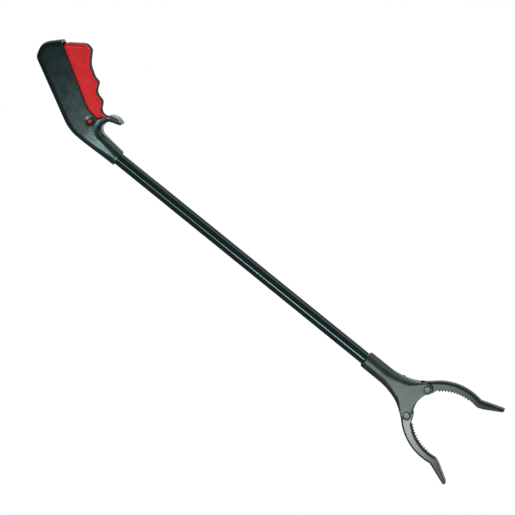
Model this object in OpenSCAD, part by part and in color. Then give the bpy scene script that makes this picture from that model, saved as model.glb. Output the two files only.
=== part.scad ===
// Reacher grabber: a pistol handle with a finger trigger, a long tube, and a
// forked head with two toothed jaws. The row frame has its origin on the tube's
// axis at the mouth of the handle's neck. +X runs along the tube to the jaws,
// +Z is up with the grip hanging below, and Y is the thickness.
// Squeezing the trigger draws the pull rod back, and the jaws swing shut.

/* [Tube] */
// tube length between the handle's neck and the head's neck
tube_exposed = 329; // [150:1:560]
// outside diameter of the tube
tube_od = 13.4; // [10:0.1:20]
// wall thickness of the tube
tube_wall = 1.0; // [0.6:0.1:2]
// length of tube held inside the handle's neck
tube_in_handle = 21; // [15:1:24]
// length of tube held inside the head's neck
tube_in_head = 26; // [18:1:28]

/* [Handle] */
// thickness of the closed handle across its two shells
grip_thick = 26; // [22:0.5:32]
// wall thickness of the handle's side
grip_wall = 2.2; // [1.6:0.1:3]
// radius of the handle's round neck
handle_neck_r = 8.75; // [8:0.05:11]
// width of the finger hook across the handle
hook_width = 22; // [16:0.5:26]
// number of screws that close the handle
grip_screws = 3; // [2:1:3]
// diameter of a handle screw's head
grip_screw_head = 5.6; // [4:0.1:7]

/* [Trigger] */
// how far back of the neck's mouth the trigger pivot sits
pivot_back = 46.5; // [44:0.1:50]
// how far below the tube's axis the trigger pivot sits
pivot_down = 13.7; // [12:0.1:16]
// diameter of the trigger's pivot pin
pivot_d = 4.4; // [3:0.1:6]
// thickness of the trigger's core
core_thick = 14; // [10:0.5:16]
// thickness of each side panel of the trigger
panel_thick = 3.2; // [1.5:0.1:4]

/* [Head] */
// thickness of the closed head across its two shells
yoke_thick = 21; // [18:0.5:26]
// thickness of each side plate of the head
yoke_plate = 2.8; // [2:0.1:4]
// radius of the head's round neck
yoke_neck_r = 9.2; // [8.5:0.05:12]
// distance from the head's mouth to the jaw pins
pin_ahead = 70.2; // [66:0.1:75]
// distance of each jaw pin from the tube's axis
pin_side = 17.35; // [15:0.05:20]
// diameter of a jaw pin
jaw_pin_d = 3.6; // [3:0.1:5]
// diameter of a jaw pin's head
jaw_pin_head = 6; // [5:0.1:8]

/* [Jaws] */
// thickness of a jaw
jaw_thick = 14.6; // [10:0.1:15]
// width of the toothed strip let into a jaw
strip_width = 9; // [6:0.5:12]
// number of coarse teeth on each jaw
coarse_teeth = 11; // [6:1:14]
// number of fine teeth near each jaw's tip
fine_teeth = 5; // [3:1:8]
// height of a coarse tooth
tooth_height = 1.7; // [1:0.1:2.5]

/* [Linkage] */
// diameter of the pull rod
rod_d = 3; // [2.5:0.1:4]
// radial clearance of every running fit
run_gap = 0.05; // [0.02:0.01:0.1]
// diameter of the two pins on the crosshead
cross_pin_d = 2.6; // [2:0.1:3]
// distance of a crosshead pin inward from its jaw pin
cross_pin_in = 4.7; // [4:0.05:6]
// wire diameter of the return spring
spring_wire = 1.0; // [0.7:0.1:1.3]
// number of turns of the return spring
spring_turns = 7; // [5:1:10]

/* [Hidden] */
// angle each jaw turns from open to shut
jaw_swing = 33.9;

$fn = 48;
eps = 0.01;
grip_half = grip_thick / 2;
yoke_half = yoke_thick / 2;
jaw_half = jaw_thick / 2;
tube_r = tube_od / 2;
rod_r = rod_d / 2;
head_x = tube_exposed;
pin_x = head_x + pin_ahead;

black = [0.10, 0.14, 0.14];
red = [0.80, 0.20, 0.20];
steel = [0.65, 0.67, 0.68];
dark = [0.05, 0.06, 0.06];

// ---- shared shapes ----

// corner c = [x, z, radius] of an outline, rounded between its two neighbours
function corner_arc(a, c, b, n = 7) =
  let(
    p = [c[0], c[1]],
    to_a = [a[0], a[1]] - p,
    to_b = [b[0], b[1]] - p,
    ua = to_a / norm(to_a),
    ub = to_b / norm(to_b),
    half = acos(ua * ub) / 2,
    reach = c[2] / tan(half),
    bis = (ua + ub) / norm(ua + ub),
    centre = p + bis * c[2] / sin(half),
    from = p + ua * reach - centre,
    to = p + ub * reach - centre,
    a0 = atan2(from[1], from[0]),
    turn = atan2(to[1], to[0]) - a0,
    sweep = turn > 180 ? turn - 360 : turn < -180 ? turn + 360 : turn
  )
  [for (i = [0:n]) centre + c[2] * [cos(a0 + sweep * i / n), sin(a0 + sweep * i / n)]];

// a closed outline with every corner rounded to its own radius
function rounded(pts) = [
  for (i = [0:len(pts) - 1])
    let(
      c = pts[i],
      a = pts[(i + len(pts) - 1) % len(pts)],
      b = pts[(i + 1) % len(pts)]
    )
    each c[2] > 0 ? corner_arc(a, c, b) : [[c[0], c[1]]]
];

// an outline drawn in X and Z, filled between two values of Y
module slab(pts, y0, y1) {
  translate([0, y1, 0]) rotate([90, 0, 0]) linear_extrude(y1 - y0) polygon(pts);
}

module y_rod(x, z, r, y0, y1) {
  translate([x, y0, z]) rotate([-90, 0, 0]) cylinder(h = y1 - y0, r = r);
}

module x_rod(x0, x1, r) {
  translate([x0, 0, 0]) rotate([0, 90, 0]) cylinder(h = x1 - x0, r = r);
}

module box(x0, x1, y0, y1, z0, z1) {
  translate([x0, y0, z0]) cube([x1 - x0, y1 - y0, z1 - z0]);
}

// keeps the left half (+Y) or the right half (-Y) of a body
module half_only(side) {
  intersection() {
    children();
    box(-200, head_x + 200, side > 0 ? 0 : -40, side > 0 ? 40 : 0, -120, 120);
  }
}

// ---- handle ----

hook_half = hook_width / 2;
cavity_half = grip_half - grip_wall;
bend_x = -58.1;
slope = 27.5;
wedge_x0 = -35;
wedge_x1 = -30;
bevel = 5;

// side outline of the grip and neck, without the finger hook
grip_outline = rounded([
  [0, handle_neck_r, 0], [bend_x, handle_neck_r, 50], [-132.4, -29.9, 9], [-136.8, -46, 14],
  [-121.6, -60.6, 1.6], [-117.4, -58, 0.4], [-57.5, -22.6, 12], [-41.5, -19.8, 5],
  [-33, -30.6, 1], [-31.2, -handle_neck_r, 3], [0, -handle_neck_r, 0]
]);

// the curled hook that the forefinger rests behind
hook_outline = rounded([
  [-35.2, -2, 0], [-35.2, -29.6, 2], [-31.2, -32.8, 5], [-18.6, -32.1, 1.6], [-18.8, -29.4, 1.6],
  [-32.8, -24.6, 8], [-32, -handle_neck_r, 7.5], [-18, -8, 0], [-18, -2, 0]
]);

// the hollow that takes the trigger, open along the grip's front
cavity_outline = rounded([
  [-118.6, -59.4, 0], [-131.7, -46.3, 6], [-129.6, -31.3, 4], [-57.6, 6.2, 20],
  [-37.5, 6.2, 3], [-34.8, -12, 3], [-34.8, -31.5, 0], [-60, -60, 0]
]);

module grip_solid() {
  difference() {
    intersection() {
      union() {
        slab(grip_outline, -grip_half, grip_half);
        slab(hook_outline, -hook_half, hook_half);
      }
      // seen from above, the body narrows to the neck's thickness
      linear_extrude(200, center = true) polygon([
        [-140, grip_half], [wedge_x0, grip_half], [wedge_x1, hook_half], [-17, hook_half],
        [-17, -hook_half], [wedge_x1, -hook_half], [wedge_x0, -grip_half], [-140, -grip_half]
      ]);
    }
    // the neck's band is cut away here and built round
    box(-25, 1, -grip_half, grip_half, -handle_neck_r - eps, handle_neck_r + eps);
    // bevels along the straight back edges
    for (s = [-1, 1]) {
      translate([bend_x, s * grip_half, handle_neck_r]) rotate([0, -slope, 0])
        rotate([45, 0, 0]) cube([180, bevel, bevel], center = true);
    }
  }
}

module handle_solid() {
  union() {
    grip_solid();
    x_rod(-34, 0, handle_neck_r);
  }
}

screw_at = [[-121, -31.6], [-66, -4.5], [-96, -19.5]];
post_r = 3;

module handle_hollow() {
  slab(cavity_outline, -cavity_half, cavity_half);
  x_rod(-tube_in_handle, 1, tube_r);
  x_rod(-40, 0, tube_r - 1.2);
  y_rod(-pivot_back, -pivot_down, pivot_d / 2, -40, 40);
  // the small round sinking around the pivot pin
  for (s = [-1, 1]) {
    translate([-pivot_back, s * (grip_half + 12.2), -pivot_down]) sphere(r = 13.2);
  }
  y_rod(-10, 0, 1.5, -6.9, 6.9);
}

// posts inside the grip, each split at the middle and holding one screw
module grip_posts() {
  for (i = [0:grip_screws - 1]) {
    y_rod(screw_at[i][0], screw_at[i][1], post_r, -cavity_half - eps, cavity_half + eps);
  }
}

module screw_holes() {
  for (i = [0:grip_screws - 1]) {
    y_rod(screw_at[i][0], screw_at[i][1], 1.3, -grip_half, cavity_half);
    y_rod(screw_at[i][0], screw_at[i][1], grip_screw_head / 2, -grip_half - 1, -grip_half + 3);
  }
}

module handle_half(side) {
  color(black) half_only(side) difference() {
    union() {
      difference() {
        handle_solid();
        handle_hollow();
      }
      grip_posts();
    }
    screw_holes();
  }
}

module handle_shell_left() {
  handle_half(1);
}

module handle_shell_right() {
  handle_half(-1);
}

// cross-head screws driven from the right-hand side
module driven_screw(x, z, y_head, head_r, shank_r, length) {
  difference() {
    union() {
      y_rod(x, z, head_r, y_head, y_head + 1.6);
      y_rod(x, z, shank_r, y_head, y_head + length);
    }
    for (turn = [0, 90]) {
      translate([x, y_head, z]) rotate([0, turn, 0]) cube([3, 1.8, 0.7], center = true);
    }
  }
}

module handle_screws() {
  color(steel) for (i = [0:grip_screws - 1]) {
    driven_screw(screw_at[i][0], screw_at[i][1], -grip_half + 1.4, grip_screw_head / 2 - 0.1,
      1.3, 20);
  }
}

// ---- tube ----

module shaft_tube() {
  color(black) difference() {
    x_rod(-tube_in_handle, head_x + tube_in_head, tube_r);
    x_rod(-tube_in_handle - 1, head_x + tube_in_head + 1, tube_r - tube_wall);
    for (x = [-10, head_x + 12]) {
      y_rod(x, 0, 1.5, -tube_r - 1, tube_r + 1);
    }
  }
}

guide_r = tube_r - tube_wall;

// short pegs that lock the tube in both necks, moulded to reach its inside wall
module tube_pin() {
  color(steel) for (x = [-10, head_x + 12]) for (s = [-1, 1]) {
    y_rod(x, 0, 1.5, s > 0 ? guide_r + 0.1 : -6.9, s > 0 ? 6.9 : -guide_r - 0.1);
  }
}

module rod_guide(x0, x1) {
  difference() {
    x_rod(x0, x1, guide_r);
    x_rod(x0 - 1, x1 + 1, rod_r + run_gap);
  }
}

module rod_guide_rear() {
  color(dark) rod_guide(-tube_in_handle, -13);
}

module rod_guide_front() {
  color(dark) rod_guide(head_x + 15, head_x + tube_in_head);
}

// ---- trigger ----

module trigger_pivot_pin() {
  color(red) y_rod(-pivot_back, -pivot_down, pivot_d / 2, -grip_half + 0.6, grip_half - 0.6);
}

// the finger lever: two finger grooves between three bumps, and a rounded foot
trigger_outline = rounded([
  [-116.8, -56.2, 1.5], [-116.2, -61.4, 4], [-99.4, -73.4, 8], [-91.6, -71.4, 5],
  [-83.4, -57.9, 22], [-71.6, -50.6, 14], [-65, -49.8, 4.5], [-60.6, -38.9, 9],
  [-49.9, -36.8, 6], [-44.6, -26.8, 7], [-38.6, -26.5, 6], [-35.8, -27.4, 0.8],
  [-38.6, -15, 4], [-41.5, -7.6, 4], [-51.5, -7.6, 5], [-56.5, -20.5, 8]
]);

// where the rod's cross hook sits, and the slit its end comes down through
hook_at = [-44.5, -25.3];
slit_outline = [[-46.6, -5], [-33, -5], [-33, -12], [-36.8, -15.4], [-42.7, -26.3], [-46.6, -26.8]];
rod_down_x = -39.3;
core_half = core_thick / 2;

module trigger_core() {
  color(black) difference() {
    slab(trigger_outline, -core_half, core_half);
    y_rod(-pivot_back, -pivot_down, pivot_d / 2 + run_gap, -40, 40);
    slab(slit_outline, -2, 2);
    y_rod(hook_at[0], hook_at[1], rod_r + 0.2, -40, 40);
  }
}

module trigger_panel(side) {
  y0 = side > 0 ? core_half : -core_half - panel_thick;
  color(red) difference() {
    slab(trigger_outline, y0, y0 + panel_thick);
    y_rod(-pivot_back, -pivot_down, pivot_d / 2 + run_gap, -40, 40);
  }
}

module trigger_panel_left() {
  trigger_panel(1);
}

module trigger_panel_right() {
  trigger_panel(-1);
}

// ---- pull rod and linkage ----

rod_front = pin_x - 2.5;
elbow = 3;
knee_z = -14;

// a straight stretch of the rod between two points of the mid-plane
module rod_leg(a, b) {
  run = b - a;
  translate([a[0], 0, a[1]]) rotate([0, 90 - atan2(run[1], run[0]), 0])
    cylinder(h = norm(run), r = rod_r);
}

// each elbow is a ball a hair larger than the rod
module rod_elbow(x, z) {
  translate([x, 0, z]) sphere(r = rod_r + 0.04);
}

module pull_rod() {
  color(steel) union() {
    x_rod(rod_down_x + elbow, rod_front, rod_r);
    rod_elbow(rod_down_x + elbow, 0);
    rod_leg([rod_down_x + elbow, 0], [rod_down_x, -elbow]);
    rod_elbow(rod_down_x, -elbow);
    rod_leg([rod_down_x, -elbow], [rod_down_x, knee_z]);
    rod_elbow(rod_down_x, knee_z);
    rod_leg([rod_down_x, knee_z], hook_at);
    y_rod(hook_at[0], hook_at[1], rod_r, -core_half + 0.4, core_half - 0.4);
  }
}

cross_w = pin_side - cross_pin_in;
cross_x = pin_x + cross_pin_in * tan(jaw_swing / 2);
cross_pin_r = cross_pin_d / 2;
plate_half = 1.5;
arm_half = 2.2;
seat_x = head_x + tube_in_head;
seat_thick = 1.2;
boss_x = head_x + 56;
boss_r = 4.6;

// a T plate: its boss grips the rod, its arms carry one pin each
module crosshead() {
  color(steel) difference() {
    union() {
      x_rod(boss_x, pin_x - 6, boss_r);
      box(pin_x - 9, pin_x - 4.2, -plate_half, plate_half, -cross_w - arm_half, cross_w + arm_half);
      for (s = [-1, 1]) {
        box(pin_x - 9, cross_x, -plate_half, plate_half, s * cross_w - arm_half,
          s * cross_w + arm_half);
        y_rod(cross_x, s * cross_w, arm_half, -plate_half, plate_half);
      }
    }
    x_rod(0, pin_x + 20, rod_r);
    for (s = [-1, 1]) {
      y_rod(cross_x, s * cross_w, cross_pin_r, -20, 20);
    }
  }
}

module crosshead_pins() {
  color(steel) for (s = [-1, 1]) {
    y_rod(cross_x, s * cross_w, cross_pin_r, -jaw_half + 0.6, jaw_half - 0.6);
  }
}

// a six-sided nut that holds the crosshead on the end of the rod
module rod_nut() {
  color(steel) difference() {
    translate([pin_x - 6, 0, 0]) rotate([0, 90, 0]) cylinder(h = 2.6, r = 3.2, $fn = 6);
    x_rod(0, pin_x + 20, rod_r);
  }
}

module spring_seat() {
  color(steel) difference() {
    x_rod(seat_x, seat_x + seat_thick, 5.4);
    x_rod(seat_x - 1, seat_x + 3, rod_r + run_gap);
  }
}

spring_r = 3.4;
coil_room = boss_x - seat_x - seat_thick - spring_wire - 0.3;
pitch = coil_room / spring_turns;

// a coil of half rings, each tilted to meet the next, with a ball over each meeting
module return_spring() {
  tilt = asin(pitch / 4 / spring_r);
  wire_r = spring_wire / 2;
  start = seat_x + seat_thick + wire_r + 0.1;
  color(steel) union() {
    for (i = [0:2 * spring_turns - 1]) {
      translate([start + pitch * (i / 2 + 0.25), 0, 0])
        rotate([0, 90, 0]) rotate([0, i % 2 == 0 ? tilt : -tilt, 0]) rotate([0, 0, 180 * (i % 2)])
        rotate_extrude(angle = 180) translate([spring_r, 0]) circle(r = wire_r);
    }
    for (i = [0:2 * spring_turns]) {
      translate([start + pitch * i / 2, 0, (i % 2 == 0 ? -1 : 1) * spring_r * cos(tilt)])
        sphere(r = wire_r + 0.04);
    }
  }
}

// ---- head ----

flare_r = 59.6;
flare_x = head_x + 28.5;
crotch_r = 31.4;
crotch_x = head_x + 101.4;
plate_end_r = 6.3;
gap_half = yoke_half - yoke_plate;
bridge_x = head_x + 48;

// the neck, and a flare that widens along two arcs to the rounded plate ends
module yoke_solid() {
  difference() {
    union() {
      x_rod(head_x, head_x + 44, yoke_neck_r);
      difference() {
        box(flare_x, head_x + 66.4, -yoke_half, yoke_half, -22.5, 22.5);
        for (s = [-1, 1]) {
          y_rod(flare_x, s * (yoke_neck_r + flare_r), flare_r, -20, 20);
        }
      }
      box(head_x + 66, head_x + 76, -yoke_half, yoke_half, -pin_side - 5, pin_side + 5);
      for (s = [-1, 1]) {
        y_rod(pin_x, s * pin_side, plate_end_r, -yoke_half, yoke_half);
      }
    }
    y_rod(crotch_x, 0, crotch_r, -20, 20);
    for (s = [-1, 1]) {
      // only the rounded plate ends are left beyond the pins
      difference() {
        box(pin_x, head_x + 80, -20, 20, s > 0 ? 12 : -30, s > 0 ? 30 : -12);
        y_rod(pin_x, s * pin_side, plate_end_r, -21, 21);
      }
      difference() {
        box(head_x + 66.4, pin_x, -20, 20, s > 0 ? pin_side : -30, s > 0 ? 30 : -pin_side);
        y_rod(pin_x, s * pin_side, plate_end_r, -21, 21);
      }
      // bevel where the slab meets the round neck
      translate([flare_x, s * yoke_half, 0]) rotate([0, 0, -s * 14])
        cube([17, 2.6, 60], center = true);
    }
  }
}

// the slot that the jaws swing in, walled at its rear by the neck
slot_outline = [
  [bridge_x, -7.6], [head_x + 54, -12], [head_x + 60, -16.6], [head_x + 61.6, -40],
  [head_x + 90, -40], [head_x + 90, 40], [head_x + 61.6, 40], [head_x + 60, 16.6],
  [head_x + 54, 12], [bridge_x, 7.6]
];

yoke_screw_at = [head_x + 43.5, 8];

module yoke_hollow() {
  slab(slot_outline, -gap_half, gap_half);
  x_rod(head_x - 1, seat_x, tube_r);
  x_rod(seat_x - 1, bridge_x + 4, 5.5);
  y_rod(head_x + 12, 0, 1.5, -6.9, 6.9);
  for (s = [-1, 1]) {
    y_rod(pin_x, s * pin_side, jaw_pin_d / 2, -20, 20);
    for (t = [-1, 1]) {
      y_rod(pin_x, s * pin_side, jaw_pin_head / 2 + 0.5, t * yoke_half - 0.5, t * yoke_half + 0.5);
    }
    y_rod(yoke_screw_at[0], s * yoke_screw_at[1], 1, -yoke_half, yoke_half - 3);
    y_rod(yoke_screw_at[0], s * yoke_screw_at[1], 2.2, -yoke_half - 1, -yoke_half + 2.2);
  }
}

module yoke_half_shell(side) {
  color(black) half_only(side) difference() {
    yoke_solid();
    yoke_hollow();
  }
}

module yoke_shell_left() {
  yoke_half_shell(1);
}

module yoke_shell_right() {
  yoke_half_shell(-1);
}

module yoke_screws() {
  color(steel) for (s = [-1, 1]) {
    driven_screw(yoke_screw_at[0], s * yoke_screw_at[1], -yoke_half + 0.6, 2, 1, 14);
  }
}

// a riveted pin with a low head at each end
module jaw_pin(s) {
  color(steel) union() {
    y_rod(pin_x, s * pin_side, jaw_pin_d / 2, -yoke_half, yoke_half);
    for (t = [-1, 1]) {
      y_rod(pin_x, s * pin_side, jaw_pin_head / 2, t > 0 ? yoke_half - 0.5 : -yoke_half - 0.7,
        t > 0 ? yoke_half + 0.7 : -yoke_half + 0.5);
    }
  }
}

module jaw_pin_upper() {
  jaw_pin(1);
}

module jaw_pin_lower() {
  jaw_pin(-1);
}

// ---- jaws ----

function on_arc(c, r, a) = [head_x + c[0] + r * cos(a), c[1] + r * sin(a)];
function arc(c, r, a0, a1, n) = [for (i = [0:n]) on_arc(c, r, a0 + (a1 - a0) * i / n)];

// the jaw's back and its gripping edge are two arcs, ahead of them a bent tip
back_c = [109.9, -14.5];
back_r = 57.7;
grip_c = [111.7, -11.4];
grip_r = 47.3;
hub_r = 7.5;
hub_flat = 6;
jaw_outline = concat(
  arc(back_c, back_r, 140, 80, 20),
  rounded([
    [head_x + 124, 41.9, 0], [head_x + 144.2, 50.9, 1.6], [head_x + 146.2, 47.9, 1.2],
    [head_x + 127, 37, 10], [head_x + 122.6, 35.3, 0]
  ]),
  arc(grip_c, grip_r, 78, 134, 18),
  [[head_x + 74, 13], [head_x + 70.2, 14]]
);

strip_half = strip_width / 2;
strip_deep = 1.6;
coarse_step = 3.15 / grip_r * 180 / PI;
fine_step = 2 / grip_r * 180 / PI;
strip_start = 133.5;
fine_start = strip_start - coarse_teeth * coarse_step;
strip_end = fine_start - fine_teeth * fine_step;

// one row of teeth along the gripping edge, each leaning back towards the hub
function teeth(from, count, step, high) = [
  for (i = [0:count - 1]) each [
    on_arc(grip_c, grip_r, from - i * step),
    on_arc(grip_c, grip_r - high, from - (i + 0.4) * step),
    on_arc(grip_c, grip_r - high, from - (i + 0.55) * step),
    on_arc(grip_c, grip_r, from - (i + 0.9) * step)
  ]
];

strip_outline = concat(
  teeth(strip_start, coarse_teeth, coarse_step, tooth_height),
  teeth(fine_start, fine_teeth, fine_step, tooth_height * 0.6),
  arc(grip_c, grip_r + strip_deep, strip_end, strip_start, 16)
);

// the slot in the hub that rides on the crosshead's pin, and the room for its plate
module jaw_tail_cut() {
  aim = atan2(cross_w - pin_side, cross_x - pin_x);
  translate([pin_x, 0, pin_side]) rotate([0, -aim, 0]) {
    box(cross_pin_in - 1.3 - run_gap, hub_r + 3, -20, 20, -cross_pin_r - run_gap,
      cross_pin_r + run_gap);
  }
  for (turn = [0, jaw_swing + 3]) {
    translate([pin_x, 0, pin_side]) rotate([0, -turn, 0])
      box(-14, 9, -plate_half - 0.3, plate_half + 0.3, -20, -jaw_pin_d / 2 - 0.2);
  }
}

// the round hub, flattened where it would stand out into the crotch
module jaw_hub() {
  difference() {
    y_rod(pin_x, pin_side, hub_r, -jaw_half, jaw_half);
    translate([pin_x, 0, pin_side]) rotate([0, 29, 0])
      box(hub_flat, hub_r + 1, -jaw_thick, jaw_thick, -hub_r - 1, hub_r + 1);
  }
}

module jaw_body() {
  difference() {
    union() {
      slab(jaw_outline, -jaw_half, jaw_half);
      jaw_hub();
    }
    y_rod(pin_x, pin_side, jaw_pin_d / 2 + run_gap, -20, 20);
    jaw_tail_cut();
    slab(
      concat(
        arc(grip_c, grip_r - 2, strip_start, strip_end, 16),
        arc(grip_c, grip_r + strip_deep, strip_end, strip_start, 16)
      ),
      -strip_half, strip_half
    );
  }
}

module jaw_grip() {
  slab(strip_outline, -strip_half, strip_half);
}

module jaw_upper() {
  color(black) jaw_body();
}

module jaw_lower() {
  color(black) mirror([0, 0, 1]) jaw_body();
}

module jaw_grip_upper() {
  color(dark) jaw_grip();
}

module jaw_grip_lower() {
  color(dark) mirror([0, 0, 1]) jaw_grip();
}

// ---- the whole object ----

handle_shell_left();
handle_shell_right();
handle_screws();
shaft_tube();
tube_pin();
rod_guide_rear();
rod_guide_front();
trigger_pivot_pin();
trigger_core();
trigger_panel_left();
trigger_panel_right();
pull_rod();
rod_nut();
crosshead();
crosshead_pins();
spring_seat();
return_spring();
yoke_shell_left();
yoke_shell_right();
yoke_screws();
jaw_pin_upper();
jaw_pin_lower();
jaw_upper();
jaw_lower();
jaw_grip_upper();
jaw_grip_lower();
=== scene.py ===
import math
import bpy
import bmesh
import numpy as np
from mathutils import Vector, Matrix


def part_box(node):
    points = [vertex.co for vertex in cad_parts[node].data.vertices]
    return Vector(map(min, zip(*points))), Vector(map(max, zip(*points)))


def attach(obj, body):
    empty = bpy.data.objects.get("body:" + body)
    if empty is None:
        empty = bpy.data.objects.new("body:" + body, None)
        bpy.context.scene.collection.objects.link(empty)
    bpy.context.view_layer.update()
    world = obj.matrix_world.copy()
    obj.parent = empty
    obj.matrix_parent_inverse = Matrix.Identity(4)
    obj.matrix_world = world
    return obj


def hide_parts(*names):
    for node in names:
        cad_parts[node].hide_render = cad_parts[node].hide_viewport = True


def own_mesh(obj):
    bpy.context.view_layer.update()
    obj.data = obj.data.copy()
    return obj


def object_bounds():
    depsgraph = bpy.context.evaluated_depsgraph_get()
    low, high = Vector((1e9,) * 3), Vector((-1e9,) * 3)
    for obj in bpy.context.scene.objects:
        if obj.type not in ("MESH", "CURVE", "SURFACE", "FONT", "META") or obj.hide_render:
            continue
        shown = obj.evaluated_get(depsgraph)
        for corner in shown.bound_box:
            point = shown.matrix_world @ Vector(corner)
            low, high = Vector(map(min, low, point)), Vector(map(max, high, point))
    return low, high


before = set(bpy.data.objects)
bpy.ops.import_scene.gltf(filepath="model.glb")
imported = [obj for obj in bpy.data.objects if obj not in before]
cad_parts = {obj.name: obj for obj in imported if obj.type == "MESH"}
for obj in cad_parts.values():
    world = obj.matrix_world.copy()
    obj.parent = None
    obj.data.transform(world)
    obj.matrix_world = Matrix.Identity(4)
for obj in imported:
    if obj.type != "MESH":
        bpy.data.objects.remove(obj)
cad_box = [list(c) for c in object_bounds()]
scene = bpy.context.scene

# Lengths are in millimetres in the shapes' own code and in metres in Blender.
MM = 0.001
TO_MM = 1000

# ------------------------------------------------------------------ places

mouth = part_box("handle_shell_left")[1].x * TO_MM          # mouth of the handle's neck
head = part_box("yoke_shell_left")[0].x * TO_MM             # mouth of the head's neck
grip_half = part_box("handle_shell_left")[1].y * TO_MM      # half thicknesses
yoke_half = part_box("yoke_shell_left")[1].y * TO_MM
jaw_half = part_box("jaw_upper")[1].y * TO_MM
trig_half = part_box("trigger_panel_left")[1].y * TO_MM
core_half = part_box("trigger_core")[1].y * TO_MM


def middle(node):
    lo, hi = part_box(node)
    return (lo + hi) / 2 * TO_MM


pivot = middle("trigger_pivot_pin")
pin = middle("jaw_pin_upper")
pin_u, pin_w = pin.x - head, pin.z                        # the jaw pin, from the head's mouth

SEAM = 0.07              # each half shell stops this far from the middle plane
TUBE_BORE = 6.72         # radius of both necks' bores for the tube
TUBE_DEEP = 21, 26       # how deep the bore goes into the handle's neck and the head's
ROD_WAY = 5.5            # radius of the way left for the rod and the spring
ROD_DEEP = 40, 52        # how deep the way goes into the two
WALL = 1.5               # least thickness of the handle's wall
CAVITY_HALF = 10.8       # half width of the handle's cavity
SCREW_SEAT = 3.0         # depth of a screw's seat in the handle
SCREW_POST = 3.0         # radius of a screw's post in the handle
NECK_R = 8.75            # outer radius of the handle's neck
HOOK_HALF = 11.0         # half thickness at the root of the finger hook
HEAD_NECK_R = 9.2        # outer radius of the head's neck
PIN_BOSS = 5.6           # radius of the head's boss about a jaw pin
JAW_WAY = 7.7            # half width of the head's slot for the jaws
JAW_HUB = 7.4            # radius of a jaw's hub

# ------------------------------------------------------------------ distance fields, in mm


def corner(a, c, b, n=7):
    """Points of the arc that rounds corner c [x, z, radius] between its neighbours a and b."""
    p, a, b = (np.array(q[:2], float) for q in (c, a, b))
    ua, ub = (a - p) / np.linalg.norm(a - p), (b - p) / np.linalg.norm(b - p)
    half = math.acos(float(ua @ ub)) / 2
    centre = p + (ua + ub) / np.linalg.norm(ua + ub) * c[2] / math.sin(half)
    reach = c[2] / math.tan(half)
    f, t = p + ua * reach - centre, p + ub * reach - centre
    a0 = math.atan2(f[1], f[0])
    turn = (math.atan2(t[1], t[0]) - a0 + math.pi) % (2 * math.pi) - math.pi
    return [centre + c[2] * np.array([math.cos(a0 + turn * i / n), math.sin(a0 + turn * i / n)])
            for i in range(n + 1)]


def rounded(pts):
    """A closed outline whose corners [x, z, radius] are rounded."""
    out = []
    for i, c in enumerate(pts):
        if c[2] > 0:
            out += corner(pts[i - 1], c, pts[(i + 1) % len(pts)])
        else:
            out.append(np.array(c[:2], float))
    return np.array(out)


def arc(c, r, a0, a1, n):
    """n + 1 points on a circle from angle a0 to a1, in degrees."""
    t = np.radians(np.linspace(a0, a1, n + 1))
    return np.stack([c[0] + r * np.cos(t), c[1] + r * np.sin(t)], 1)


def outline(pts, X, Z):
    """Signed distance to a closed outline, below zero inside it."""
    d = np.full(np.broadcast(X, Z).shape, 1e9)
    inside = np.zeros(d.shape, bool)
    for (ax, az), (bx, bz) in zip(pts, np.roll(pts, -1, 0)):
        ex, ez = bx - ax, bz - az
        if ex * ex + ez * ez < 1e-12:
            continue
        t = np.clip(((X - ax) * ex + (Z - az) * ez) / (ex * ex + ez * ez), 0, 1)
        d = np.minimum(d, (X - ax - ex * t) ** 2 + (Z - az - ez * t) ** 2)
        if bz != az:
            inside ^= ((az <= Z) != (bz <= Z)) & (X < ax + (Z - az) / (bz - az) * ex)
    return np.sqrt(d) * np.where(inside, -1, 1)


def plate(d, y, half, r):
    """An outline given thickness, its two rims rounded by r."""
    a, b = d + r, np.abs(y) - (half - r)
    return np.minimum(np.maximum(a, b), 0) + np.hypot(np.maximum(a, 0), np.maximum(b, 0)) - r


def join(a, b, k):
    """Both shapes together, blended over k."""
    h = np.clip(0.5 + 0.5 * (b - a) / k, 0, 1)
    return b * (1 - h) + a * h - k * h * (1 - h)


def meet(a, b, k):
    """What both shapes share, its edge rounded over k. With -b it cuts shape b away."""
    return -join(-a, -b, k)


def ramp(x, a, b):
    """A smooth step from 0 at a to 1 at b."""
    t = np.clip((x - a) / (b - a), 0, 1)
    return t * t * (3 - 2 * t)


# ------------------------------------------------------------------ mesh making


def shown(name, me, smooth=True):
    """A mesh as an object of the scene."""
    me.polygons.foreach_set("use_smooth", [smooth] * len(me.polygons))
    me.update()
    ob = bpy.data.objects.new(name, me)
    scene.collection.objects.link(ob)
    return ob


def new_object(name, verts, faces, smooth=True):
    me = bpy.data.meshes.new(name)
    me.from_pydata([tuple(v) for v in verts], [], [tuple(f) for f in faces])
    return shown(name, me, smooth)


PROBE = 0.02             # step for a field's slope, in mm


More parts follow.
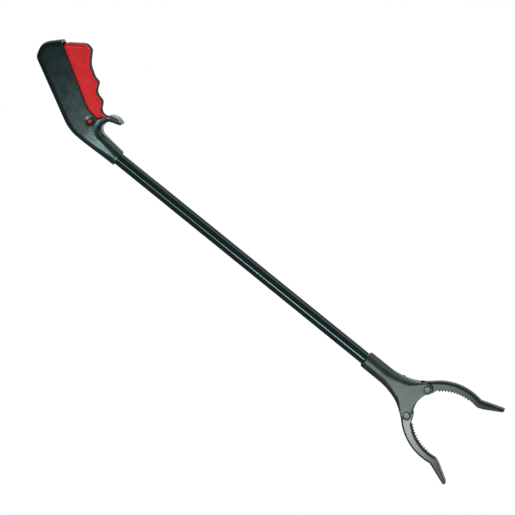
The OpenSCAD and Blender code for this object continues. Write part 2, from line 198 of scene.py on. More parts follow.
def skin(f, lo, hi, step):
    """The zero surface of field f between lo and hi, as points (in mm) and quads.

    Each grid cell that the surface crosses gets one point, and each crossed grid edge one quad.
    """
    step = step * 1
    ax = [np.arange(l - step, h + 2 * step, step) for l, h in zip(lo, hi)]
    v = f(ax[0][:, None, None], ax[1][None, :, None], ax[2][None, None, :])
    ins = v < 0
    # one point for each cell, from the crossings on its twelve edges
    cell = np.zeros([n - 1 for n in v.shape], np.int8)
    total = np.zeros(cell.shape + (3,))
    count = np.zeros(cell.shape)
    for axis in range(3):
        s0 = [slice(None)] * 3
        s1 = [slice(None)] * 3
        s0[axis], s1[axis] = slice(0, -1), slice(1, None)
        va, vb = v[tuple(s0)], v[tuple(s1)]
        cross = (va < 0) != (vb < 0)
        t = np.where(cross, va / np.where(cross, va - vb, 1), 0)
        others = [k for k in range(3) if k != axis]
        for da in (0, 1):
            for db in (0, 1):
                sl = [slice(None)] * 3
                sl[others[0]] = slice(da, cell.shape[others[0]] + da)
                sl[others[1]] = slice(db, cell.shape[others[1]] + db)
                c, tt = cross[tuple(sl)], t[tuple(sl)]
                count += c
                total[..., axis] += np.where(c, tt, 0)
                total[..., others[0]] += c * da
                total[..., others[1]] += c * db
    live = count > 0
    ids = np.full(cell.shape, -1)
    ids[live] = np.arange(live.sum())
    ijk = np.argwhere(live)
    pts = (ijk + total[live] / count[live][:, None]) * step + np.array([a[0] for a in ax])
    # one quad for each crossed edge, between the four cells about it
    quads = []
    for axis in range(3):
        u, w = (axis + 1) % 3, (axis + 2) % 3
        s0 = [slice(1, -1)] * 3
        s0[axis] = slice(0, -1)
        s1 = list(s0)
        s1[axis] = slice(1, None)
        a, b = ins[tuple(s0)], ins[tuple(s1)]
        for flip in (False, True):
            where = np.argwhere(~a & b if flip else a & ~b)
            base = where.copy()
            base[:, u] += 1
            base[:, w] += 1
            q = []
            for du, dw in ((0, 0), (-1, 0), (-1, -1), (0, -1)):
                p = base.copy()
                p[:, u] += du
                p[:, w] += dw
                q.append(ids[p[:, 0], p[:, 1], p[:, 2]])
            q = np.stack(q, 1)
            quads.append(q[:, ::-1] if flip else q)
    quads = np.concatenate(quads)
    # onto the exact surface, along the field's slope
    for _ in range(3):
        X, Y, Z = pts.T
        v0 = f(X, Y, Z)
        g = np.stack([f(X + PROBE, Y, Z) - v0, f(X, Y + PROBE, Z) - v0,
                      f(X, Y, Z + PROBE) - v0], 1) / PROBE
        move = -g * (v0 / np.maximum((g * g).sum(1), 0.2))[:, None]
        pts = pts + np.clip(move, -step * 0.5, step * 0.5)
    return pts, quads


def mirrored(pts, quads, axis):
    """The same surface on the other side of the plane across an axis, its quads still outward."""
    p = pts.copy()
    p[:, axis] *= -1
    return p, quads[:, ::-1]


def dress(ob, material, body, node):
    """Give a piece its material in its finish's slot and its body, and hide the CAD node it stands
    for.
    """
    ob.data.materials.append(material)
    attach(ob, body)
    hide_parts(node)


def solid(name, surface, material, body, node):
    pts, quads = surface
    dress(new_object(name, pts * MM, quads.tolist()), material, body, node)


# ------------------------------------------------------------------ materials


MOULDED_BLACK = (0.006, 0.015, 0.014)      # the jaws' plastic where no painted reflection lies on it
DRAWN = (0.05, 1, 1)                       # scale of marks that are drawn out along X


class Nodes:
    """A small helper for building one procedural material."""

    def __init__(self, name):
        self.mat = bpy.data.materials.new(name)
        self.mat.use_nodes = True
        self.tree = self.mat.node_tree
        self.bsdf = self.tree.nodes["Principled BSDF"]
        self.place = self.add("ShaderNodeTexCoord").outputs["Object"]

    def add(self, kind, **values):
        node = self.tree.nodes.new(kind)
        for key, value in values.items():
            if key in node.inputs:
                node.inputs[key].default_value = value
            else:
                setattr(node, key, value)
        return node

    def link(self, a, b):
        self.tree.links.new(a, b)

    def noise(self, scale, detail=3.0, rough=0.55, stretch=None):
        tex = self.add("ShaderNodeTexNoise", Scale=scale, Detail=detail, Roughness=rough)
        src = self.place
        if stretch:
            m = self.add("ShaderNodeMapping")
            m.inputs["Scale"].default_value = stretch
            self.link(src, m.inputs["Vector"])
            src = m.outputs["Vector"]
        self.link(src, tex.inputs["Vector"])
        return tex.outputs["Fac"]

    def band(self, value, low, high, out_low, out_high):
        """A value between low and high, spread over out_low to out_high and held there outside."""
        ends = {"From Min": low, "From Max": high, "To Min": out_low, "To Max": out_high}
        m = self.add("ShaderNodeMapRange", **ends)
        self.link(value, m.inputs["Value"])
        return m.outputs["Result"]

    def mix(self, fac, a, b):
        m = self.add("ShaderNodeMix", data_type="RGBA")
        for key, v in (("A", a), ("B", b)):
            socket = [s for s in m.inputs if s.name == key and s.type == "RGBA"][0]
            if hasattr(v, "links"):
                self.link(v, socket)
            else:
                socket.default_value = (*v, 1)
        self.link(fac, m.inputs["Factor"])
        return [o for o in m.outputs if o.type == "RGBA"][0]

    def part(self, vector, axis):
        """The X, Y or Z of a vector."""
        xyz = self.add("ShaderNodeSeparateXYZ")
        self.link(vector, xyz.inputs[0])
        return xyz.outputs[axis]

    def times(self, a, b):
        m = self.add("ShaderNodeMath", operation="MULTIPLY")
        self.link(a, m.inputs[0])
        self.link(b, m.inputs[1])
        return m.outputs["Value"]

    def bump(self, height, strength, distance, normal=None):
        b = self.add("ShaderNodeBump", Strength=strength, Distance=distance)
        self.link(height, b.inputs["Height"])
        if normal:
            self.link(normal, b.inputs["Normal"])
        return b.outputs["Normal"]


def plastic(name, dark, light, rough, grain, specular=0.5, tint=(0.72, 1.0, 0.95),
            painted_reflection=None, sheen_fade=None):
    """Moulded plastic: cloudy colour, patchy sheen, a fine spark texture and faint flow waves.

    painted_reflection (x0, x1, share): a painted reflection makes the side flats lighter and
    glossier up to x0. From there to x1, and at the rims, they turn to the moulded black, whose
    sheen is that share of the flats'.
    sheen_fade (x0, x1, share): the sheen grows along the piece, from that share at x0 to all at
    x1, a painted shade that darkens the piece towards x0.
    """
    n = Nodes(name)
    cloud = n.noise(45, 2)
    col = n.mix(n.band(cloud, 0.35, 0.65, 0, 1), dark, light)
    patch = n.noise(130, 2, 0.5)
    sheen = n.band(patch, 0.2, 0.8, specular * 0.7, specular * 1.3)
    if painted_reflection:
        # painted reflection: the side flats are lighter and glossier up to x0, darker at the rims
        # and beyond x1
        normal_y = n.part(n.add("ShaderNodeNewGeometry").outputs["Normal"], "Y")
        flat = n.band(n.times(normal_y, normal_y), 0.7, 0.96, 0, 1)
        reflection_mask = n.times(n.band(n.part(n.place, "X"), painted_reflection[0], painted_reflection[1], 1, 0), flat)
        col = n.mix(reflection_mask, MOULDED_BLACK, col)
        sheen = n.times(sheen, n.band(reflection_mask, 0, 1, painted_reflection[2], 1))
    # painted shade: the sheen is dimmed towards x0
    if sheen_fade:
        sheen = n.times(sheen, n.band(n.part(n.place, "X"), *sheen_fade, 1))
    n.link(col, n.bsdf.inputs["Base Color"])
    n.link(n.band(patch, 0.2, 0.8, rough - 0.05, rough + 0.06), n.bsdf.inputs["Roughness"])
    n.link(sheen, n.bsdf.inputs["Specular IOR Level"])
    n.bsdf.inputs["Specular Tint"].default_value = (*tint, 1)
    waves = n.bump(n.noise(60, 2), 0.2, 0.0006)
    spark = n.bump(n.noise(2600, 2, 0.6), grain, 0.00002, waves)
    n.link(spark, n.bsdf.inputs["Normal"])
    return n.mat


def metal(name, colour, rough):
    """Plated metal with fine turning or drawing marks and a little tarnish."""
    n = Nodes(name)
    n.bsdf.inputs["Metallic"].default_value = 1.0
    spots = n.noise(300, 5, 0.7)
    dull = tuple(c * 0.62 for c in colour)
    n.link(n.mix(n.band(spots, 0.42, 0.72, 0, 1), colour, dull), n.bsdf.inputs["Base Color"])
    marks = n.noise(900, 3, 0.6, DRAWN)
    n.link(n.band(marks, 0.3, 0.7, rough - 0.08, rough + 0.1), n.bsdf.inputs["Roughness"])
    n.link(n.bump(marks, 0.25, 0.00004), n.bsdf.inputs["Normal"])
    return n.mat


def lacquer(name, dark, light, rough):
    """The tube's glossy black coat, with faint streaks drawn along its length."""
    n = Nodes(name)
    streak = n.noise(500, 3, 0.6, (0.03, 1, 1))
    n.link(n.mix(n.band(streak, 0.35, 0.65, 0, 1), dark, light), n.bsdf.inputs["Base Color"])
    fine = n.noise(1500, 3, 0.6, (0.02, 1, 1))
    n.link(n.band(fine, 0.3, 0.7, rough, rough + 0.07), n.bsdf.inputs["Roughness"])
    n.link(n.bump(fine, 0.04, 0.00002), n.bsdf.inputs["Normal"])
    n.bsdf.inputs["Specular Tint"].default_value = (0.78, 1.0, 0.96, 1)
    return n.mat


# the shell's sheen is dimmed towards the butt: painted shade
black = plastic("black_shell", (0.0045, 0.0150, 0.0150), (0.0085, 0.0215, 0.0205), 0.335, 0.08,
                0.86, sheen_fade=(-0.122, -0.047, 0.25))
# the head's copy of the black plastic, rougher, lighter and glossier: its lighter colour and sheen
# are painted light for the head's brighter flats
head_black = plastic("black_head", (0.0065, 0.0180, 0.0175), (0.0120, 0.0255, 0.0240), 0.42, 0.4,
                     0.75, (0.86, 1.0, 0.96))
reflection_fade = (head + 84) * MM, (head + 128) * MM, 0.3           # where the jaws' painted reflection fades, towards the tips
# both jaws are lighter, glossier copies of the black plastic, the upper one much lighter: painted
# reflection, fading towards the tips
jaw_painted_reflection = plastic("worn_jaw", (0.070, 0.085, 0.072), (0.125, 0.140, 0.118), 0.45, 0.45,
                   1.4, (0.93, 1.0, 0.95), painted_reflection=reflection_fade)
jaw_black = plastic("black_jaw", (0.010, 0.024, 0.022), (0.020, 0.036, 0.033), 0.45, 0.45,
                    0.75, (0.80, 1.0, 0.96), painted_reflection=reflection_fade)
strip_black = plastic("tooth_strip", (0.005, 0.011, 0.011), (0.009, 0.015, 0.015), 0.58, 0.6, 0.4)
core_black = plastic("trigger_core_black", (0.020, 0.013, 0.012), (0.030, 0.019, 0.017), 0.7, 0.4,
                     0.12, (1, 1, 1))
guide_grey = plastic("guide_nylon", (0.05, 0.05, 0.05), (0.07, 0.07, 0.068), 0.5, 0.4)
red = plastic("red_panel", (0.76, 0.022, 0.026), (0.82, 0.028, 0.032), 0.335, 0.12,
              0.20, (1, 1, 1))
tube_coat = lacquer("tube_lacquer", (0.0045, 0.0150, 0.0150), (0.007, 0.0185, 0.018), 0.055)
steel = metal("plated_steel", (0.56, 0.57, 0.58), 0.32)
dark_steel = metal("blacked_steel", (0.085, 0.09, 0.09), 0.42)
rivet = plastic("dull_rivet", (0.085, 0.115, 0.108), (0.16, 0.19, 0.178), 0.46, 0.4, 0.9)

# ------------------------------------------------------------------ handle shells

# outlines in the X-Z plane, each corner as [x, z, radius]
rim_line = rounded([
    [6, NECK_R, 0], [-58.1, NECK_R, 50], [-132.4, -29.9, 9], [-136.8, -46, 14], [-104, -79, 0],
    [-46, -50, 0], [-14, -50, 0], [-18.9, -29.2, 2.2], [-33.2, -24.2, 7], [-33.2, -11.4, 6.5],
    [6, -8.2, 0]])
front_line = rounded([
    [30, 40, 0], [-170, 40, 0], [-170, -89.2, 0], [-57.5, -22.6, 12], [-41.5, -19.8, 5],
    [-33.2, -31.6, 2.5], [-26, -33.6, 9], [-10, -29.5, 0], [-10, -15, 0], [30, -15, 0]])
cavity_line = rounded([
    [-118.6, -59.4, 0], [-131.7, -46.3, 6], [-129.6, -31.3, 4], [-57.6, 6.2, 20],
    [-37.5, 6.2, 3], [-34.8, -12, 3], [-34.8, -31.5, 0], [-60, -60, 0]])
screws = [(-121, -31.6), (-96, -19.5), (-66, -4.5)]


def handle_block(X, Y, Z):
    """The grip, neck and finger hook as one block, before it is hollowed and opened in front."""
    grip_rim, hook_rim = 7.2, 3.4
    to_mouth = ramp(X, -44, -3)
    to_hook = ramp(X, -40, -31) * ramp(-Z, 17, 25)
    thick = grip_half - (grip_half - NECK_R) * to_mouth
    thick = thick + (HOOK_HALF - 0.11 * (Z + 33) - thick) * to_hook
    r = grip_rim + (NECK_R - grip_rim) * ramp(X, -34, -3)
    r = np.minimum(r + (hook_rim - r) * to_hook, thick)
    d = outline(rim_line, X, Z)
    # a low bead where the side turns into the sweep under the neck
    bead = 0.3 * np.exp(-((d + r) / 0.95) ** 2) * ramp(X, -48, -40) * ramp(-Z, -1, 6)
    return plate(d, Y, thick + bead, r)


def handle_left(X, Y, Z):
    sink_ball, sink_depth, pin_hole = 13.0, 1.0, 2.25
    block = handle_block(X, Y, Z)
    f = meet(block, outline(front_line, X, Z), 0.7)
    f = meet(f, X - mouth, 0.25)
    cavity = np.maximum(plate(outline(cavity_line, X, Z), Y, CAVITY_HALF, 0.8), block + WALL)
    f = meet(f, -cavity, 0.5)
    for x, z in screws:
        post = np.maximum(np.hypot(X - x, Z - z) - SCREW_POST, np.abs(Y) - CAVITY_HALF - 0.2)
        f = np.minimum(f, post)
    # the neck's bore for the tube, and the narrower way for the rod behind it
    from_axis = np.hypot(Y, Z)
    f = meet(f, -np.maximum(from_axis - TUBE_BORE, -X - TUBE_DEEP[0]), 0.3)
    f = meet(f, -np.maximum(from_axis - ROD_WAY, -X - ROD_DEEP[0]), 0.3)
    # the round sinking about the pivot pin, a shallow piece of a ball, and the pin's hole
    from_pin = np.hypot(X - pivot.x, Z - pivot.z)
    ball_middle = grip_half + sink_ball - sink_depth
    f = meet(f, sink_ball - np.hypot(from_pin, np.abs(Y) - ball_middle), 0.35)
    f = meet(f, pin_hole - from_pin, 0.15)
    return meet(f, SEAM - Y, 0.3)


def handle_right(X, Y, Z):
    """The left shell's mirror, with a sunk seat for each screw's head."""
    seat_r = 2.85
    f = handle_left(X, -Y, Z)
    for x, z in screws:
        off = np.hypot(X - x, Z - z)
        f = meet(f, -np.maximum(off - seat_r, Y + grip_half - SCREW_SEAT), 0.25)
    return f


left = skin(handle_left, (-137, 0, -62), (mouth, grip_half, 9), 0.62)
right = skin(handle_right, (-137, -grip_half, -62), (mouth, 0, 9), 0.62)
solid("handle_left", left, black, "frame", "handle_shell_left")
solid("handle_right", right, black, "frame", "handle_shell_right")

# ------------------------------------------------------------------ trigger

trigger_line = rounded([
    [-116.8, -56.2, 1.5], [-116.2, -61.4, 4], [-99.4, -73.4, 8], [-91.6, -71.4, 5],
    [-83.4, -57.9, 22], [-71.6, -50.6, 14], [-65, -49.8, 4.5], [-60.6, -38.9, 9],
    [-49.9, -36.8, 6], [-44.6, -26.8, 7], [-38.6, -26.5, 6], [-35.8, -27.4, 0.8],
    [-38.6, -15, 4], [-41.5, -7.6, 4], [-51.5, -7.6, 5], [-56.5, -20.5, 8]])
slit_line = np.array([
    [-46.6, -5], [-33, -5], [-33, -12], [-36.8, -15.4], [-42.6, -26.4], [-46.6, -27]])


def pivot_hole(X, Z):
    """Below zero outside the pin's hole, to meet the trigger's layers with."""
    hole_r = 2.3
    return hole_r - np.hypot(X - pivot.x, Z - pivot.z)


def panel_left(X, Y, Z):
    d = outline(trigger_line, X, Z)
    # a low bead where the flat side turns into the rim
    bead = 0.16 * np.exp(-((d + 3.3) / 0.75) ** 2)
    f = plate(d, Y, trig_half + bead, 3.2)
    f = meet(f, core_half + 0.05 - Y, 0.5)
    return meet(f, pivot_hole(X, Z), 0.1)


def core(X, Y, Z):
    """The trigger's middle layer, with a slit for the rod's hook."""
    f = plate(outline(trigger_line, X, Z) + 0.05, Y, core_half, 0.3)
    f = meet(f, pivot_hole(X, Z), 0.1)
    slit = np.maximum(outline(slit_line, X, Z), f + 0.7)
    return meet(f, -np.maximum(slit, np.abs(Y) - 2), 0.2)


left = skin(panel_left, (-118, core_half, -75), (-35, trig_half, -7), 0.5)
right = mirrored(*left, 1)
middle_layer = skin(core, (-118, -core_half, -75), (-35, core_half, -7), 0.6)
solid("panel_left", left, red, "trigger", "trigger_panel_left")
solid("panel_right", right, red, "trigger", "trigger_panel_right")
solid("core", middle_layer, core_black, "trigger", "trigger_core")

# ------------------------------------------------------------------ forked head

FLARE_R = 59.6
# outlines in the X-Z plane, with x from the head's mouth
flare = arc((28.5, HEAD_NECK_R + FLARE_R), FLARE_R, -90, -53, 14)
fork_line = np.concatenate([
    [[-8, -HEAD_NECK_R], [-8, HEAD_NECK_R]], flare,
    [[68.3, 22.6], [pin_u, pin_w], [77, 12], [77, -12], [pin_u, -pin_w], [68.3, -22.6]],
    flare[::-1] * [1, -1]])
slot_line = np.array([
    [48, -7.6], [54, -12], [60, -16.6], [61.6, -40], [90, -40], [90, 40], [61.6, 40], [60, 16.6],
    [54, 12], [48, 7.6]])


def fork_left(X, Y, Z):
    crotch_r, crotch_u = 31.4, 101.4
    seat_r, seat_depth, hole_r = 3.6, 0.5, 1.85
    groove_r, groove_half, groove_depth = 4.85, 0.2, 0.3
    U = X - head
    W = np.abs(Z)
    from_pin = np.hypot(U - pin_u, W - pin_w)
    d = np.minimum(outline(fork_line, U, Z), from_pin - PIN_BOSS)
    thick = yoke_half - (yoke_half - HEAD_NECK_R) * (1 - ramp(U, 18, 44))
    r = HEAD_NECK_R - 2.6 * ramp(U, 22, 46) - 5.2 * ramp(U, 50, 66)
    f = plate(d, Y, thick, r)
    f = meet(f, -U, 3.2)
    # the round crotch, the slot for the jaws and crosshead, and the bores on the tube's axis
    f = meet(f, crotch_r - np.hypot(U - crotch_u, Z), 0.8)
    f = meet(f, -np.maximum(outline(slot_line, U, Z), np.abs(Y) - JAW_WAY), 0.4)
    from_axis = np.hypot(Y, Z)
    f = meet(f, -np.maximum(from_axis - TUBE_BORE, U - TUBE_DEEP[1]), 0.3)
    f = meet(f, -np.maximum(from_axis - ROD_WAY, U - ROD_DEEP[1]), 0.3)
    # each jaw pin's sunk seat, the fine groove about it, and its hole
    below_face = yoke_half - np.abs(Y)
    f = meet(f, -np.maximum(from_pin - seat_r, below_face - seat_depth), 0.3)
    groove = np.maximum(np.abs(from_pin - groove_r) - groove_half, below_face - groove_depth)
    f = meet(f, -groove, 0.25)
    f = meet(f, hole_r - from_pin, 0.1)
    return meet(f, SEAM - Y, 0.3)


def fork_right(X, Y, Z):
    """The left shell's mirror, with a low boss, a sunk seat and a hole for each screw."""
    boss_r, seat_r, hole_r = 3.0, 2.25, 1.0
    screw_u, screw_w = 43.5, 8
    f = fork_left(X, -Y, Z)
    off = np.hypot(X - head - screw_u, np.abs(Z) - screw_w)
    boss = np.maximum(np.maximum(off - boss_r, -Y - yoke_half + 0.25), Y + 5)
    f = join(f, boss, 0.6)
    f = meet(f, -np.maximum(off - seat_r, Y + yoke_half - 2.2), 0.2)
    return meet(f, -np.maximum(off - hole_r, Y), 0.1)


left = skin(fork_left, (head, 0, -24), (head + 77, yoke_half, 24), 0.5)
right = skin(fork_right, (head, -yoke_half, -24), (head + 77, 0, 24), 0.5)
solid("fork_left", left, head_black, "frame", "yoke_shell_left")
solid("fork_right", right, head_black, "frame", "yoke_shell_right")

# ------------------------------------------------------------------ jaws

# the direction from the jaw's pin to its crosshead pin, along which the tail's slot runs
CROSSHEAD_PIN_R = 1.3
to_pin = np.array([(middle("crosshead_pins") - pin).x,
                   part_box("crosshead_pins")[1].z * TO_MM - CROSSHEAD_PIN_R - pin_w])
to_pin /= np.linalg.norm(to_pin)
back_c, back_r = (109.9, -14.5), 57.7               # arc of the back, from the head's mouth
grip_c, grip_r = (111.7, -11.4), 47.3               # arc of the gripping edge
CUT_WAY, CUT_AT = (0.874, -0.486), 5.6              # line that keeps the hub out of the crotch
SEAT_FROM, SEAT_TO = 79.4, 133.5                    # the strip's seat, in degrees along the grip
SEAT_DEPTH, SEAT_HALF = 1.6, 4.5
GAP_HALF = 1.8                                      # the tail's gap for the crosshead
SLOT_HALF, SLOT_START = 1.36, 3.34                  # its slot for the crosshead's pin
RING_C, RING_R, RING_HALF, RING_DEPTH = (118, 38.6), 1.15, 0.28, 0.18
jaw_back = np.concatenate([
    arc(back_c, back_r, 140, 80, 24),
    rounded([[124, 41.9, 0], [144.2, 50.9, 1.6], [146.2, 47.9, 1.2]])[1:]])
jaw_line = np.concatenate([
    jaw_back, rounded([[146.2, 47.9, 0], [127, 37, 10], [122.6, 35.3, 0]])[1:],
    arc(grip_c, grip_r, 78, 134, 22), [[74, 13], [pin_u, 14]]])
jaw_wide = np.concatenate([jaw_back, [[150, 42], [120, 22], [88, 14], [66, 4]]])


def jaw(X, Y, Z):
    U = X - head
    du, dw = U - pin_u, Z - pin_w
    hub = np.hypot(du, dw) - JAW_HUB
    # the root is the hub, cut along the line where it clears the head's crotch
    root = meet(hub, du * CUT_WAY[0] + dw * CUT_WAY[1] - CUT_AT, 0.8)
    d = join(outline(jaw_line, U, Z), root, 1.0)
    # the back's broad round, then the full outline with crisp edges on the gripping side
    wide = np.minimum(outline(jaw_wide, U, Z), hub)
    f = plate(wide, Y, jaw_half, 3.4 - 1.4 * ramp(U, 118, 140))
    f = meet(f, plate(d, Y, jaw_half, 0.6), 0.4)
    f = meet(f, 1.87 - np.hypot(du, dw), 0.1)
    # the seat of the toothed strip
    a = np.degrees(np.arctan2(Z - grip_c[1], U - grip_c[0]))
    R = np.hypot(U - grip_c[0], Z - grip_c[1])
    seat = np.maximum(np.maximum(R - grip_r - SEAT_DEPTH, np.abs(Y) - SEAT_HALF),
                      np.maximum(a - SEAT_TO, SEAT_FROM - a))
    f = meet(f, -seat, 0.15)
    # the tail's gap for the crosshead, and its slot for the crosshead's pin
    gap = np.maximum(np.abs(Y) - GAP_HALF, np.maximum(dw + 2.1, du - 9))
    f = meet(f, -gap, 0.2)
    along = du * to_pin[0] + dw * to_pin[1]
    beside = du * to_pin[1] - dw * to_pin[0]
    f = meet(f, -np.maximum(np.abs(beside) - SLOT_HALF, SLOT_START - along), 0.15)
    # a plain ejector ring on each side
    mark = np.abs(np.hypot(U - RING_C[0], Z - RING_C[1]) - RING_R) - RING_HALF
    return meet(f, -np.maximum(mark, jaw_half - RING_DEPTH - np.abs(Y)), 0.12)


top = skin(jaw, (head + 62, -jaw_half, 9), (head + 147, jaw_half, 52), 0.5)
bottom = mirrored(*top, 2)
solid("jaw_top", top, jaw_painted_reflection, "upper_jaw", "jaw_upper")
solid("jaw_bottom", bottom, jaw_black, "lower_jaw", "jaw_lower")

# ------------------------------------------------------------------ turned and CAD pieces


def lathe(name, profile, place, axis, segments=64):
    """A turned piece: profile is (distance along the axis, radius) in mm."""
    bm = bmesh.new()
    rings = []
    for t, r in profile:
        if r < 1e-6:
            rings.append([bm.verts.new((t, 0, 0))])
        else:
            rings.append([bm.verts.new((t, r * math.cos(a), r * math.sin(a)))
                          for a in np.linspace(0, 2 * math.pi, segments, endpoint=False)])
    for a, b in zip(rings, rings[1:]):
        for i in range(segments):
            quad = [a[i % len(a)], b[i % len(b)], b[(i + 1) % len(b)], a[(i + 1) % len(a)]]
            quad = [v for k, v in enumerate(quad) if v not in quad[:k]]
            if len(quad) > 2:
                bm.faces.new(quad)
    bmesh.ops.recalc_face_normals(bm, faces=bm.faces)
    turn = Vector((1, 0, 0)).rotation_difference(Vector(axis)).to_matrix().to_4x4()
    bm.transform(Matrix.Translation(Vector(place) * MM) @ turn @ Matrix.Scale(MM, 4))
    me = bpy.data.meshes.new(name)
    bm.to_mesh(me)
    bm.free()
    return shown(name, me)


def both_ways(half):
    """A turned piece's whole profile from the half that starts at its middle."""
    return [(-t, r) for t, r in half[::-1]] + half[1:]


def pin_across(name, half, place, material, node):
    """A turned pin along Y, the same on both sides of the middle plane."""
    ob = lathe(name, both_ways(half), place, (0, 1, 0))
    dress(ob, material, "frame", node)


PIN_R, PIN_EDGE = 2.2, 0.5
face = trig_half + 2.45
turns = np.linspace(0, math.pi / 2, 6)
bar = [(0, PIN_R)]
bar += [(face - PIN_EDGE + PIN_EDGE * math.sin(a), PIN_R - PIN_EDGE + PIN_EDGE * math.cos(a))
        for a in turns]
bar += [(face, 0)]
pin_across("pivot_button", bar, (pivot.x, 0, pivot.z), red, "trigger_pivot_pin")

y = yoke_half
headed = [(0, 1.8), (y - 0.5, 1.8), (y - 0.5, 3.0), (y + 0.35, 3.0), (y + 0.6, 2.85),
          (y + 0.7, 2.5), (y + 0.7, 1.5), (y + 0.52, 1.15), (y + 0.5, 0)]
for name, z in (("upper", pin.z), ("lower", -pin.z)):
    pin_across("rivet_" + name, headed, (pin.x, 0, z), rivet, "jaw_pin_" + name)

TUBE_WALL, TUBE_EDGE = 1.0, 0.2
lo, hi = (c * TO_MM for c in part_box("shaft_tube"))
prof = [(lo.x, hi.y - TUBE_WALL), (lo.x, hi.y - TUBE_EDGE), (lo.x + TUBE_EDGE, hi.y)]
prof += [(x, hi.y) for x in np.linspace(0, head, 24)]
prof += [(hi.x - TUBE_EDGE, hi.y), (hi.x, hi.y - TUBE_EDGE), (hi.x, hi.y - TUBE_WALL),
         (lo.x, hi.y - TUBE_WALL)]
tube = lathe("tube", prof, (0, 0, 0), (1, 0, 0), 128)
dress(tube, tube_coat, "frame", "shaft_tube")


def finish_cad(node, material, width=0.12):
    """A CAD node kept as it is, with its edges eased and a real finish."""
    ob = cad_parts[node]
    ob.data.materials.clear()
    ob.data.materials.append(material)
    weld = ob.modifiers.new("weld", "WELD")
    weld.merge_threshold = 2e-6
    bev = ob.modifiers.new("edge", "BEVEL")
    bev.width = width * MM
    bev.segments = 2
    bev.limit_method = "ANGLE"
    bev.angle_limit = math.radians(35)


for node in ("handle_screws", "yoke_screws", "pull_rod", "rod_nut", "spring_seat", "tube_pin"):
    finish_cad(node, steel)
for node in ("crosshead", "crosshead_pins"):
    finish_cad(node, dark_steel)
for node in ("rod_guide_rear", "rod_guide_front"):
    finish_cad(node, guide_grey)
for node in ("jaw_grip_upper", "jaw_grip_lower"):
    finish_cad(node, strip_black, 0.14)

# ------------------------------------------------------------------ return spring


def coil(x0, x1, radius, wire, turns, closed=0.8, steps=28, around=14):
    """A compression spring from x0 to x1 whose end turns lie closed, as points (mm) and faces."""
    s = np.linspace(0, turns, int(turns * steps) + 1)
    is_open = np.minimum(ramp(s, closed, closed + 0.4), ramp(turns - s, closed, closed + 0.4))
    share = np.interp(0.5 * (s[1:] + s[:-1]), s, is_open)
    shut = 2 * wire * 1.02
    spare = x1 - x0 - 2 * wire - shut * turns
    pitch = shut + (spare / share.mean() / turns) * share
    x = x0 + wire + np.concatenate([[0], np.cumsum(pitch * np.diff(s))])
    angle = 2 * math.pi * s
    spine = np.stack([x, radius * np.sin(angle), -radius * np.cos(angle)], 1)
    outward = np.stack([np.zeros_like(s), np.sin(angle), -np.cos(angle)], 1)
    along = np.gradient(spine, axis=0)
    along /= np.linalg.norm(along, axis=1)[:, None]
    sideways = np.cross(along, outward)
    rings = [spine + wire * (outward * math.cos(a) + sideways * math.sin(a))
             for a in np.linspace(0, 2 * math.pi, around, endpoint=False)]
    pts = np.stack(rings, 1).reshape(-1, 3)
    faces = []
    for i in range(0, (len(s) - 1) * around, around):
        for j in range(around):
            k = (j + 1) % around
            faces.append([i + j, i + k, i + around + k, i + around + j])
    last = (len(s) - 1) * around
    faces += [list(range(around))[::-1], [last + j for j in range(around)]]
    return pts, faces


WIRE_R = 0.5
lo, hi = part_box("return_spring")
pts, faces = coil(lo.x * TO_MM, hi.x * TO_MM, hi.y * TO_MM - WIRE_R, WIRE_R, 7)
spring = new_object("spring", pts * MM, faces)
dress(spring, steel, "frame", "return_spring")
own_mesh(spring)

# ------------------------------------------------------------------ floor, light, camera

centre = (Vector(cad_box[0]) + Vector(cad_box[1])) / 2
FLOOR_GAP = 0.004        # metres below the object
FLOOR_HALF = 4.0


def pale_floor():
    """A pale sheet that only the camera sees, from above, so it doesn't light the object."""
    z = Vector(cad_box[0]).z - FLOOR_GAP
    corners = [(centre.x + i * FLOOR_HALF, j * FLOOR_HALF, z)
               for i, j in ((-1, -1), (1, -1), (1, 1), (-1, 1))]
    ob = new_object("floor", corners, [(0, 1, 2, 3)], smooth=False)
    n = Nodes("pale_floor")
    n.bsdf.inputs["Roughness"].default_value = 0.8
    n.bsdf.inputs["Specular IOR Level"].default_value = 0.1
    grain = n.noise(8, 3)
    n.link(n.mix(grain, (0.085, 0.085, 0.085), (0.095, 0.095, 0.094)), n.bsdf.inputs["Base Color"])
    n.link(n.mix(grain, (0.80, 0.80, 0.80), (0.81, 0.81, 0.808)), n.bsdf.inputs["Emission Color"])
    n.bsdf.inputs["Emission Strength"].default_value = 1.0
    above = n.band(n.add("ShaderNodeNewGeometry").outputs["Backfacing"], 0, 1, 1, 0)
    seen = n.times(n.add("ShaderNodeLightPath").outputs["Is Camera Ray"], above)
    clear = n.add("ShaderNodeBsdfTransparent")
    blend = n.add("ShaderNodeMixShader")
    for end, socket in zip((seen, clear.outputs[0], n.bsdf.outputs[0]), blend.inputs):
        n.link(end, socket)
    n.link(blend.outputs[0], n.tree.get_output_node("ALL").inputs["Surface"])
    ob.data.materials.append(n.mat)


pale_floor()

world = bpy.data.worlds.new("studio")
scene.world = world
world.use_nodes = True
wt = world.node_tree
bg = wt.nodes["Background"]
path = wt.nodes.new("ShaderNodeLightPath")
level = wt.nodes.new("ShaderNodeMapRange")
level.inputs["To Min"].default_value = 0.10
level.inputs["To Max"].default_value = 1.0
wt.links.new(path.outputs["Is Camera Ray"], level.inputs["Value"])
wt.links.new(level.outputs["Result"], bg.inputs["Strength"])
bg.inputs["Color"].default_value = (1, 1, 1, 1)


def tilt_dir(towards_minus_z, towards_x=0.0):
    """A direction near +Y, leaned by these angles in degrees."""
    a, b = math.radians(towards_minus_z), math.radians(towards_x)
    return Vector((math.sin(b), math.cos(a) * math.cos(b), -math.sin(a) * math.cos(b)))


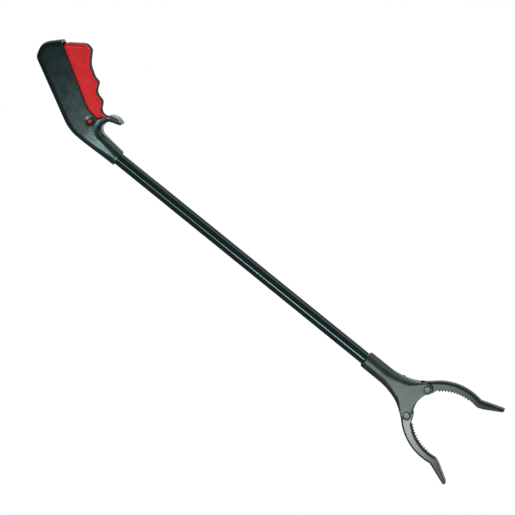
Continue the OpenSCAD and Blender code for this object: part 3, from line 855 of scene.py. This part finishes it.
def card(name, direction, distance, length, width, radiance, slide=0.0):
    """A soft rectangular light that faces the object, its length along the tube."""
    data = bpy.data.lights.new(name, "AREA")
    data.shape = "RECTANGLE"
    data.size, data.size_y = length, width
    data.energy = radiance * math.pi * length * width
    ob = bpy.data.objects.new(name, data)
    z = Vector(direction).normalized()
    x = Vector((1, 0, 0))
    x = (x - x.project(z)).normalized()
    y = z.cross(x)
    m = Matrix((x, y, z)).transposed().to_4x4()
    ob.matrix_world = Matrix.Translation(centre + z * distance + x * slide) @ m
    scene.collection.objects.link(ob)
    ob.visible_camera = False


# each card's direction, distance, length and width in metres, radiance, and slide
card("strip", tilt_dir(-20), 1.3, 1.33, 0.24, 15.0, 0.565)
card("handle_strip", tilt_dir(-20), 1.3, 0.23, 0.24, 7.0, -0.215)
card("head_card", tilt_dir(-9), 1.3, 0.34, 0.22, 5.5, 0.31)
card("under_card", tilt_dir(89), 1.2, 2.4, 0.8, 1.4)
card("back_fill", tilt_dir(155), 1.5, 2.4, 1.1, 0.8)
# the tool's other side
card("far_side", (0, -1, 0.1), 1.4, 2.2, 0.5, 1.5)
card("far_low", (-0.64, -0.64, -0.42), 1.5, 1.8, 1.1, 1.3)

# the camera looks from the left side, with the tube running down to the right
SENSOR, FAR, MARGIN = 36, 4.0, 1.04      # sensor in mm, distance in metres, room about the tool
ACROSS = (0.775, 0, -0.632)              # the picture's right, in the frame of the tool
view = tilt_dir(10, 3)
right = Vector(ACROSS)
right = (right - right.project(view)).normalized()
up = view.cross(right)
cam_data = bpy.data.cameras.new("camera")
cam = bpy.data.objects.new("camera", cam_data)
scene.collection.objects.link(cam)
corners = [Vector(c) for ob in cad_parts.values() for c in ob.bound_box]
mid, spans = Vector(), []
for axis in (right, up, view):
    reach = [c.dot(axis) for c in corners]
    mid += axis * (min(reach) + max(reach)) / 2
    spans.append(max(reach) - min(reach))
turned = Matrix((right, up, view)).transposed().to_4x4()
cam.matrix_world = Matrix.Translation(mid + view * FAR) @ turned
cam_data.sensor_width = SENSOR
cam_data.lens = SENSOR * FAR / (max(spans[:2]) * MARGIN)
cam_data.clip_start, cam_data.clip_end = 0.05, 50
scene.camera = cam
scene.view_settings.view_transform = "Standard"
scene.view_settings.look = "None"
scene.view_settings.exposure = 0.0
